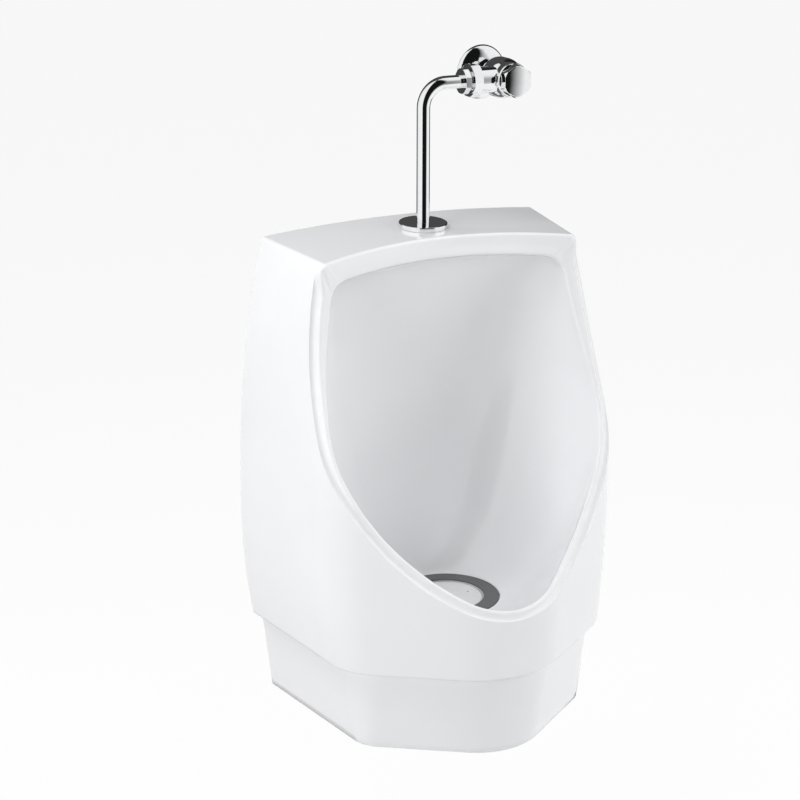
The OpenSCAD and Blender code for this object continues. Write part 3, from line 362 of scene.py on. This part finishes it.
# The bowl's control points at stations round the opening: two points and the angle at the drain
STATIONS = [(i, point(*a), point(*b), angle) for i, a, b, angle in (
    (0, (0, 20, 580), (0, 40, 110), 0),
    (I_SHOULDER, (-140, 24, 578), (-70, 38, 112), 32),
    ((I_CORNER + I_CHEEK) / 2, (-180, 45, 560), (-108, 42, 118), 52),
    (I_SIDE + 4, (-206, 80, 440), (-135, 70, 112), 74),
    (I_SIDE + 11, (-202, 130, 300), (-146, 118, 106), 95),
    (I_SIDE + 17, (-172, 215, 180), (-130, 190, 100), 118),
    (I_SIDE + 25, (-90, 310, 135), (-75, 250, 97), 150),
    (N_ALL, (0, 345, 122), (0, 288, 98), 180))]
MIRROR_X = np.array((-1.0, 1, 1))
FLIP_Y = np.array((1.0, -1, 1))


def station_mix(k, i):
    """Entry k of the stations, smoothly between them at meridian i."""
    last = len(STATIONS) - 1
    s = max(j for j in range(last) if i >= STATIONS[j][0])
    t = (i - STATIONS[s][0]) / (STATIONS[s + 1][0] - STATIONS[s][0])
    if s == 0:
        before = -STATIONS[1][3] if k == 3 else STATIONS[1][k] * MIRROR_X
    else:
        before = STATIONS[s - 1][k]
    if s == last - 1:
        after = 360 - STATIONS[last - 1][3] if k == 3 else STATIONS[last - 1][k] * MIRROR_X
    else:
        after = STATIONS[s + 2][k]
    return hermite(before, STATIONS[s][k], STATIONS[s + 1][k], after, t)


def drain_pt(i, r, z):
    a = math.radians(station_mix(3, i))
    return point(-r * math.sin(a), -DRAIN_D + r * math.cos(a), z)


def push_out(p, s):
    return p + s * unit(point(p[0], p[1] + DRAIN_D, 0))


SEAT_FLOOR_Z = SEAT_Z - SEAT_DEPTH
UNDER_Z = SEAT_FLOOR_Z - CLAY
UNDER_R = HOLE_R + 18
STEP_ROUND = 3
SEAT_ROUND = 2
N_SKIN, N_BOWL, N_BACK, N_IN, N_SKIRT = 30, 44, 14, 8, 14
FINE = 4


def skin_row(i, v, n):
    """The outer skin, from the wall edge or the step to the cove."""
    if i < I_CHEEK:
        e = front_edge(i) - FRAME_SIDE - COVE_RUN
        return [on_top(i, e * k / n, v) for k in range(n)]
    r, f = rim_qz(side_v(i)), rim_dir(side_v(i))
    u = -FRAME_SIDE - COVE_RUN
    e = np.array((r[0] + u * f[0] / plan_len(body_plan(r[1])), r[1] + u * f[1]))
    lowest = STEP_Z + (CLAY if v > 0 else STEP_ROUND)
    if i <= I_WALL:
        w = np.array((0, lerp(TOP_Z - EDGE_R, lowest, (i - I_CHEEK) / (I_WALL - I_CHEEK))))
    else:
        w = np.array((step_q(i), lowest))
    return [on_body(*lerp(w, e, k / n), v) for k in range(n)]


def section(i):
    """The ware's section on meridian i, from the outer skin over the rim, down the bowl and up its back."""
    rim = [skin_point(i, u, v) for u, v in profile(i)]
    last, edge = rim[-1], edge_at(i)
    c1, c2 = station_mix(1, i) * FLIP_Y, station_mix(2, i) * FLIP_Y
    seat = drain_pt(i, SEAT_R + SEAT_ROUND, SEAT_Z)
    soft = min(OPENING_SOFT, np.linalg.norm(edge - last) * 0.45)
    start_from = edge + unit(last - edge) * soft
    start = edge + unit(c1 - edge) * soft
    inner = skin_point(i, -FRAME_SIDE - COVE_RUN, CLAY)
    b1, b2 = push_out(c1, CLAY), push_out(c2, CLAY) - point(0, 0, CLAY)
    under = drain_pt(i, UNDER_R, UNDER_Z)
    in_row = skin_row(i, CLAY, N_IN)
    return (skin_row(i, 0, N_SKIN) + rim
            + [bezier2(start_from, edge, start, k / 6) for k in range(6)]
            + [bezier3(start, c1, c2, seat, k / N_BOWL) for k in range(N_BOWL)]
            + [drain_pt(i, SEAT_R + SEAT_ROUND * (1 - math.sin(a)), SEAT_Z - SEAT_ROUND * (1 - math.cos(a)))
               for a in ARC]
            + [drain_pt(i, r, z)
               for r, z in ((SEAT_R, SEAT_FLOOR_Z), (HOLE_R, SEAT_FLOOR_Z), (HOLE_R, UNDER_Z))]
            + [bezier3(under, b2, b1, inner, k / N_BACK) for k in range(N_BACK + 1)]
            + in_row[::-1])


def skirt_section(i):
    """The skirt's section, from the step's rounded edge down the outside and up the inside."""
    q = step_q(i)
    step = [on_body(q, STEP_Z + STEP_ROUND * (1 - math.sin(a)), STEP_ROUND * (1 - math.cos(a))) for a in ARC]
    neck, foot_edge = STEP_Z - STEP_ROUND, -SKIRT_DROP + SKIRT_EDGE
    down = [(1 - k / N_SKIRT, lerp(neck, foot_edge, k / N_SKIRT)) for k in range(N_SKIRT + 1)]
    outside = [on_plan(skirt_plan(f), q, z, 0) for f, z in down]
    foot = [on_plan(skirt_plan(0), q, -SKIRT_DROP, v) for v in (SKIRT_EDGE, CLAY - SKIRT_EDGE)]
    inside = [on_plan(skirt_plan(f), q, z, CLAY) for f, z in down[::-3]]
    return step + outside + foot + inside + [on_body(q, STEP_Z + CLAY, CLAY)]


# Meshes
MERGE = 2e-6


def new_object(name, mesh, body, slot):
    obj = bpy.data.objects.new(name, mesh)
    bpy.context.scene.collection.objects.link(obj)
    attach(obj, body)
    return obj


def smooth(mesh, angle=40):
    mesh.shade_smooth()
    mesh.set_sharp_from_angle(angle=math.radians(angle))


def grid_into(bm, rows):
    verts = [[bm.verts.new(p * MM) for p in row] for row in rows]
    for r0, r1 in zip(verts, verts[1:]):
        for a, b, c, d in zip(r0, r0[1:], r1[1:], r1):
            bm.faces.new((a, b, c, d))


def join_seams(bm):
    bmesh.ops.remove_doubles(bm, verts=bm.verts, dist=MERGE)
    bmesh.ops.dissolve_degenerate(bm, edges=bm.edges, dist=MERGE / 2)
    bmesh.ops.recalc_face_normals(bm, faces=bm.faces)


def mesh_from(bm, name):
    mesh = bpy.data.meshes.new(name)
    bm.to_mesh(mesh)
    bm.free()
    return mesh


def make_ware():
    """The ware in one mesh: the left half from its meridians, and its mirror image."""
    columns = [k / FINE for k in range(N_ALL * FINE + 1)]
    sections = [section(i) for i in columns]
    skirts = [skirt_section(i) for i in columns if i >= I_WALL]
    wall_edge = [(s[-1], s[0]) for i, s in zip(columns, sections) if i <= I_WALL]
    bm = bmesh.new()
    for side in (1, -1):
        flip = np.array((side, 1, 1), float)
        before = len(bm.faces)
        for rows in (sections, [s[::-1] for s in skirts], wall_edge):
            grid_into(bm, [[p * flip for p in row] for row in rows])
        bm.faces.new([bm.verts.new(p * flip * MM) for p in skirts[0]])
        if side < 0:
            bm.faces.ensure_lookup_table()
            bmesh.ops.reverse_faces(bm, faces=bm.faces[before:])
    join_seams(bm)
    mesh = mesh_from(bm, "china_body_ware")
    ware = new_object("ware_glazed", mesh, "ware", "china")
    smooth(mesh)
    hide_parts("china_body")
    return ware


ware = make_ware()


# Materials, whose noise is used between two values
NOISE_LOW = 0.3
NOISE_HIGH = 0.7


def base_material(name, color, roughness, metallic=0.0):
    mat = bpy.data.materials.new(name)
    mat.use_nodes = True
    bsdf = mat.node_tree.nodes["Principled BSDF"]
    bsdf.inputs["Base Color"].default_value = (*color, 1)
    bsdf.inputs["Roughness"].default_value = roughness
    bsdf.inputs["Metallic"].default_value = metallic
    return mat, mat.node_tree, bsdf


def noise(tree, scale, detail):
    coord = tree.nodes.new("ShaderNodeTexCoord")
    tex = tree.nodes.new("ShaderNodeTexNoise")
    tex.inputs["Scale"].default_value = scale
    tex.inputs["Detail"].default_value = detail
    tree.links.new(coord.outputs["Object"], tex.inputs["Vector"])
    return tex.outputs["Fac"]


def spread(tree, value, low, high):
    ramp = tree.nodes.new("ShaderNodeMapRange")
    ramp.inputs["From Min"].default_value = NOISE_LOW
    ramp.inputs["From Max"].default_value = NOISE_HIGH
    ramp.inputs["To Min"].default_value = low
    ramp.inputs["To Max"].default_value = high
    tree.links.new(value, ramp.inputs["Value"])
    return ramp.outputs["Result"]


def tint(tree, value, low, high):
    ramp = tree.nodes.new("ShaderNodeValToRGB")
    ramp.color_ramp.elements[0].position = NOISE_LOW
    ramp.color_ramp.elements[0].color = (*low, 1)
    ramp.color_ramp.elements[1].position = NOISE_HIGH
    ramp.color_ramp.elements[1].color = (*high, 1)
    tree.links.new(value, ramp.inputs["Fac"])
    return ramp.outputs["Color"]


def bump(tree, bsdf, value, strength, distance):
    node = tree.nodes.new("ShaderNodeBump")
    node.inputs["Strength"].default_value = strength
    node.inputs["Distance"].default_value = distance
    tree.links.new(value, node.inputs["Height"])
    tree.links.new(node.outputs["Normal"], bsdf.inputs["Normal"])


def shaded(name, low, high, rough, metallic, scale, bumps):
    """A material with a drifting colour and roughness, and a fine bump."""
    mat, tree, bsdf = base_material(name, high, rough[0], metallic)
    drift = noise(tree, scale, 4.0)
    tree.links.new(tint(tree, drift, low, high), bsdf.inputs["Base Color"])
    tree.links.new(spread(tree, drift, rough[0], rough[1]), bsdf.inputs["Roughness"])
    if bumps:
        bump(tree, bsdf, noise(tree, bumps[0], 2.0), bumps[1], bumps[2])
    return mat, bsdf


def glaze():
    mat, bsdf = shaded("glaze", (0.885, 0.89, 0.905), (0.905, 0.91, 0.925), (0.1, 0.14), 0.0, 9,
                       (45, 0.06, 0.0006))
    bsdf.inputs["Coat Weight"].default_value = 0.4
    bsdf.inputs["Coat Roughness"].default_value = 0.05
    bsdf.inputs["Specular IOR Level"].default_value = 0.5
    return mat


# Each finish: two colours, roughness from and to, metallic, noise scale, and bump scale, strength, height
FINISHES = {
    "chrome": ((0.84, 0.85, 0.86), (0.88, 0.885, 0.89), (0.03, 0.06), 1.0, 140, None),
    "brass": ((0.6, 0.42, 0.17), (0.72, 0.52, 0.24), (0.22, 0.34), 1.0, 220, (900, 0.1, 0.0002)),
    "zinc_steel": ((0.52, 0.53, 0.54), (0.64, 0.65, 0.66), (0.25, 0.42), 1.0, 90, (1200, 0.1, 0.0002)),
    "rubber": ((0.018, 0.018, 0.018), (0.03, 0.03, 0.03), (0.6, 0.78), 0.0, 200, (1500, 0.2, 0.0002)),
    "cable_rubber": ((0.015, 0.015, 0.015), (0.025, 0.025, 0.025), (0.4, 0.5), 0.0, 200, (1500, 0.1, 0.0001)),
    "trim_plastic": ((0.12, 0.12, 0.125), (0.15, 0.15, 0.155), (0.5, 0.62), 0.0, 120, (1800, 0.25, 0.0002)),
    "lid_plastic": ((0.8, 0.8, 0.81), (0.86, 0.86, 0.87), (0.3, 0.4), 0.0, 90, (1500, 0.15, 0.0002)),
    "white_plastic": ((0.76, 0.76, 0.75), (0.82, 0.82, 0.81), (0.35, 0.45), 0.0, 90, (1200, 0.1, 0.0002)),
    "housing_plastic": ((0.66, 0.67, 0.68), (0.74, 0.75, 0.76), (0.35, 0.48), 0.0, 80, (1200, 0.1, 0.0002)),
    "hose_plastic": ((0.72, 0.73, 0.74), (0.8, 0.81, 0.82), (0.2, 0.3), 0.0, 80, (900, 0.1, 0.0002)),
    "box_plastic": ((0.05, 0.05, 0.054), (0.075, 0.075, 0.08), (0.5, 0.62), 0.0, 150, (2200, 0.4, 0.0003)),
    "battery_steel": ((0.1, 0.16, 0.28), (0.14, 0.2, 0.34), (0.3, 0.4), 0.0, 60, (900, 0.1, 0.0002))}
LOOKS = {"china": glaze()}
for name, finish in FINISHES.items():
    LOOKS[name] = shaded(name, *finish)[0]


def set_material(obj, slot):
    obj.data.materials.clear()
    obj.data.materials.append(LOOKS[slot])


set_material(ware, "china")


# Every other node gets a copy of its mesh with clean faces and rounded edges
NODE_BODY = {n: b for b, names in frame["record"]["behaviour"]["bodies"].items() for n in names}
NODE_SLOT = {s["node"]: s["material_slot"] for s in frame["record"]["subparts"]}
EDGE_ROUND = {"chrome": 0.5, "brass": 0.4, "zinc_steel": 0.4, "rubber": 0.25}
WIDER_ROUND = {"stop_cap": 0.9}
FLAT_ANGLE = math.radians(0.3)
SHARP_ANGLE = math.radians(28)


def dress(node):
    """Replaces a node with the same shape, its flat faces joined and its edges rounded."""
    slot = NODE_SLOT[node]
    width = WIDER_ROUND.get(node, EDGE_ROUND.get(slot, 0.5))
    bm = bmesh.new()
    bm.from_mesh(frame["nodes"][node].data)
    bmesh.ops.remove_doubles(bm, verts=bm.verts, dist=MERGE)
    bmesh.ops.dissolve_limit(bm, angle_limit=FLAT_ANGLE, verts=bm.verts, edges=bm.edges)
    sharp = [e for e in bm.edges if len(e.link_faces) == 2 and e.calc_face_angle(0) > SHARP_ANGLE]
    bmesh.ops.bevel(bm, geom=sharp, offset=width * MM, segments=2, affect="EDGES", clamp_overlap=True)
    mesh = mesh_from(bm, node + "_dressed")
    smooth(mesh, 30)
    obj = new_object(node + "_finished", mesh, NODE_BODY[node], slot)
    obj.modifiers.new("shading", "WEIGHTED_NORMAL").keep_sharp = True
    set_material(obj, slot)
    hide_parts(node)


# The rinse hose and the valve's cable are smooth tubes along the solids' own ways, in millimetres
HOSE_START = point(0, -58.5, 595.3)
HOSE_END = point(-104, -135.5, 45)
HOSE_R = 6.5
HOSE_BORE_R = 5.4
BARB = 10
CABLE_R = 2
CABLE_CORE_R = 0.4


def hose_z(share):
    return lerp(HOSE_END[2], HOSE_START[2], share)


HOSE_WAY = [
    HOSE_START, HOSE_START + point(0, BARB, 0), HOSE_START + point(0, 2 * BARB, 0),
    HOSE_START + point(-1, 32, -4), HOSE_START + point(-4, 44, -17), HOSE_START + point(-11, 46, -44),
    point(-35, -18, hose_z(0.82)),
    point(-75, -20, hose_z(0.643)), point(-112, -20, hose_z(0.426)), point(-122, -22, hose_z(0.245)),
    point(-114, -32, hose_z(0.118)), point(-108, -55, 69), HOSE_END + point(-1, 54, 7),
    HOSE_END + point(0, 32, 1), HOSE_END + point(0, 18, 0), HOSE_END + point(0, BARB, 0), HOSE_END]
CABLE_WAY = [
    point(-129, -153, 29.8), point(-129, -153, 19), point(-139, -133, 5), point(-145, -80, -5),
    point(-142, -35, 8), point(-140, -16, 6), point(-140, -16, -14)]


def sweep(node, way, r, steps, sides, bore):
    """Replaces a node with a smooth tube along the points of its way."""
    first, last = 2 * way[0] - way[1], 2 * way[-1] - way[-2]
    path = [through(way, first, last, min(0.99999, k / steps)) for k in range(steps + 1)]

    def hoop(k, radius):
        t = unit(path[min(steps, k + 1)] - path[max(0, k - 1)])
        side = unit(np.cross(point(1, 0.2, 0.1), t))
        up = np.cross(t, side)
        turns = [2 * math.pi * j / sides for j in range(sides + 1)]
        return [path[k] + radius * (math.cos(a) * side + math.sin(a) * up) for a in turns]

    bm = bmesh.new()
    outside = [hoop(k, r) for k in range(steps + 1)]
    inside = [hoop(k, bore) for k in range(steps + 1)]
    for rows in (outside, inside, (outside[0], inside[0]), (outside[-1], inside[-1])):
        grid_into(bm, rows)
    join_seams(bm)
    mesh = mesh_from(bm, node + "_sweep")
    smooth(mesh)
    obj = new_object(node + "_smooth", mesh, NODE_BODY[node], NODE_SLOT[node])
    set_material(obj, NODE_SLOT[node])
    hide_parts(node)


sweep("rinse_hose", HOSE_WAY, HOSE_R, 160, 32, HOSE_BORE_R)
sweep("coil_cable", CABLE_WAY, CABLE_R, 90, 16, CABLE_CORE_R)


# The ledges' inner end, depth, height and middle, in millimetres
LEDGE_X = 150
LEDGE_D = 24
LEDGE_H = 12
LEDGE_Y = -16
LEDGE_Z = 566
LEDGE_EDGE = 1.5


def make_ledge(side):
    """A ledge of clay behind the top that rests on a wall hanger."""
    x0, x1 = LEDGE_X, half_w(LEDGE_Z - LEDGE_H / 2) - CLAY / 2
    bpy.ops.mesh.primitive_cube_add(size=1)
    obj = bpy.context.object
    obj.name = "ware_ledge_left" if side < 0 else "ware_ledge_right"
    obj.data.transform(Matrix.Diagonal(((x1 - x0) * MM, LEDGE_D * MM, LEDGE_H * MM, 1)))
    obj.location = (side * (x0 + x1) / 2 * MM, LEDGE_Y * MM, LEDGE_Z * MM)
    rounding = obj.modifiers.new("rounding", "BEVEL")
    rounding.width = LEDGE_EDGE * MM
    rounding.segments = 3
    smooth(obj.data)
    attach(obj, "ware")
    set_material(obj, "china")


make_ledge(-1)
make_ledge(1)

for name in sorted(frame["nodes"]):
    if name not in ("china_body", "rinse_hose", "coil_cable"):
        dress(name)


# Stage: a white background, a pale floor, a painted surround that only reflections show, a grey sheet that
# paints a dark reflection, and soft lamps
WHITE = 0.97
FILL = 0.4
FLOOR_Z = -0.46
FLOOR_COLOR = 0.6
FLOOR_SHADE = 0.12
FLOOR_GLOW = 0.885
SHEET_Z = FLOOR_Z + 0.02
SURROUND_R = 3.2
SURROUND_AT = (0.06, -0.07, 0.84)
# The sheet that paints a dark reflection: its outline in metres, and its grey glow
PAINTED_REFLECTION_OUTLINE = [(-0.5, 0.05), (0.7, 0.05), (0.7, 2.6), (-0.5, 2.6)]
PAINTED_REFLECTION_SHADE = 0.16


def for_kinds(tree, plain, shown):
    """The shown shader for camera, mirror and glass rays, and the plain one for all others."""
    path = tree.nodes.new("ShaderNodeLightPath")
    fac = path.outputs["Is Camera Ray"]
    for kind in ("Is Glossy Ray", "Is Transmission Ray"):
        both = tree.nodes.new("ShaderNodeMath")
        both.operation = "MAXIMUM"
        tree.links.new(fac, both.inputs[0])
        tree.links.new(path.outputs[kind], both.inputs[1])
        fac = both.outputs[0]
    mix = tree.nodes.new("ShaderNodeMixShader")
    tree.links.new(fac, mix.inputs["Fac"])
    tree.links.new(plain, mix.inputs[1])
    tree.links.new(shown, mix.inputs[2])
    return mix.outputs[0]


def glow(tree, kind, strength):
    node = tree.nodes.new(kind)
    node.inputs["Color"].default_value = (1, 1, 1, 1)
    node.inputs["Strength"].default_value = strength
    return node.outputs[0]


def make_world():
    world = bpy.data.worlds.new("studio")
    bpy.context.scene.world = world
    world.use_nodes = True
    tree = world.node_tree
    tree.nodes.clear()
    fill = glow(tree, "ShaderNodeBackground", FILL)
    white = glow(tree, "ShaderNodeBackground", WHITE)
    out = tree.nodes.new("ShaderNodeOutputWorld")
    tree.links.new(for_kinds(tree, fill, white), out.inputs["Surface"])


def make_floor():
    """A pale floor that keeps the object's shadow and looks as white as the background."""
    bpy.ops.mesh.primitive_plane_add(size=30, location=(0, 0, FLOOR_Z))
    floor = bpy.context.object
    floor.name = "floor"
    mat, tree, bsdf = base_material("floor", (FLOOR_COLOR,) * 3, 0.7)
    bsdf.inputs["Specular IOR Level"].default_value = 0.1
    shade = tree.nodes.new("ShaderNodeBsdfDiffuse")
    shade.inputs["Color"].default_value = (*(FLOOR_SHADE,) * 3, 1)
    lit = tree.nodes.new("ShaderNodeAddShader")
    tree.links.new(shade.outputs[0], lit.inputs[0])
    tree.links.new(glow(tree, "ShaderNodeEmission", FLOOR_GLOW), lit.inputs[1])
    out = tree.nodes["Material Output"]
    tree.links.new(for_kinds(tree, bsdf.outputs[0], lit.outputs[0]), out.inputs["Surface"])
    floor.data.materials.append(mat)


# The surround's paint: angles from the photographer's side, anticlockwise from above, and brightness
PAINT = [(-180, 0.07), (-120, 0.06), (-108, 0.9), (-60, 1.0), (-20, 1.0), (-15, 0.008), (51, 0.008),
         (57, 0.5), (63, 0.95), (90, 1.0), (119, 1.0), (126, 0.012), (155, 0.015), (170, 0.07), (180, 0.07)]


def mirror_only(obj):
    """Makes a stage piece that glows and that only mirror rays see."""
    for kind in ("camera", "diffuse", "transmission", "volume_scatter", "shadow"):
        setattr(obj, "visible_" + kind, False)
    mat = bpy.data.materials.new(obj.name)
    mat.use_nodes = True
    tree = mat.node_tree
    tree.nodes.clear()
    emit = tree.nodes.new("ShaderNodeEmission")
    out = tree.nodes.new("ShaderNodeOutputMaterial")
    tree.links.new(emit.outputs[0], out.inputs["Surface"])
    obj.data.materials.append(mat)
    return tree, emit


def make_surround():
    """A round wall of tall white and dark panels under a closed top, seen by mirror rays alone."""
    bpy.ops.mesh.primitive_uv_sphere_add(segments=96, ring_count=48, radius=SURROUND_R)
    wall = bpy.context.object
    wall.name = "surround"
    bm = bmesh.new()
    bm.from_mesh(wall.data)
    foot = (0, 0, SHEET_Z - SURROUND_AT[2])
    geom = bm.verts[:] + bm.edges[:] + bm.faces[:]
    bmesh.ops.bisect_plane(bm, geom=geom, plane_co=foot, plane_no=(0, 0, 1), clear_inner=True)
    bm.to_mesh(wall.data)
    bm.free()
    wall.location = SURROUND_AT
    wall.rotation_euler = (0, 0, math.radians(-90 - CAMERA_YAW))
    tree, emit = mirror_only(wall)
    coord = tree.nodes.new("ShaderNodeTexCoord")
    around = tree.nodes.new("ShaderNodeTexGradient")
    around.gradient_type = "RADIAL"
    tree.links.new(coord.outputs["Object"], around.inputs["Vector"])
    ramp = tree.nodes.new("ShaderNodeValToRGB")
    stops = ramp.color_ramp.elements
    while len(stops) < len(PAINT):
        stops.new(1)
    for stop, (angle, value) in zip(stops, PAINT):
        stop.position = 0.5 + angle / 360
        stop.color = (value, value, value, 1)
    tree.links.new(around.outputs["Fac"], ramp.inputs["Fac"])
    tree.links.new(ramp.outputs["Color"], emit.inputs["Color"])


def make_painted_reflection():
    """A painted dark reflection: a grey glowing sheet on the floor behind the wall plane, seen by mirror rays
    alone, which shiny surfaces mirror as shade.
    """
    mesh = bpy.data.meshes.new("painted_reflection_sheet")
    mesh.from_pydata([(x, y, SHEET_Z) for x, y in PAINTED_REFLECTION_OUTLINE], [], [range(len(PAINTED_REFLECTION_OUTLINE))])
    sheet = bpy.data.objects.new("painted_reflection_sheet", mesh)
    bpy.context.scene.collection.objects.link(sheet)
    tree, emit = mirror_only(sheet)
    emit.inputs["Color"].default_value = (*(PAINTED_REFLECTION_SHADE,) * 3, 1)


def area_light(name, at, target, size, power):
    data = bpy.data.lights.new(name, "AREA")
    data.shape = "RECTANGLE"
    data.size, data.size_y = size
    data.energy = power
    obj = bpy.data.objects.new(name, data)
    obj.location = at
    obj.rotation_euler = (Vector(target) - Vector(at)).to_track_quat("-Z", "Y").to_euler()
    obj.visible_glossy = False
    bpy.context.scene.collection.objects.link(obj)


# Each lamp: its name, place, target, size in metres and power in watts
LAMPS = [
    ("left_top", (-1.6, -0.5, 3.4), (0, -0.2, 0.3), (1.2, 1.2), 27),
    ("left_side", (-1.9, -0.9, 0.5), (0, -0.25, 0.3), (0.8, 1.0), 14),
    ("right", (2.6, -1.6, 0.9), (0, -0.2, 0.3), (1.6, 2.4), 45),
    ("top_near", (0.0, -0.7, 1.9), (0, -0.15, 0.3), (0.8, 0.5), 3.5),
    ("front", (-0.4, -3.2, 1.2), (0, -0.1, 0.3), (1.6, 1.6), 5),
    ("behind", (-1.2, 1.0, 2.2), (0, -0.1, 0.6), (1.2, 1.2), 14)]

make_world()
make_floor()
make_surround()
make_painted_reflection()
for name, at, target, size, power in LAMPS:
    area_light(name, at, target, size, power)
bpy.context.scene.view_settings.view_transform = "Standard"
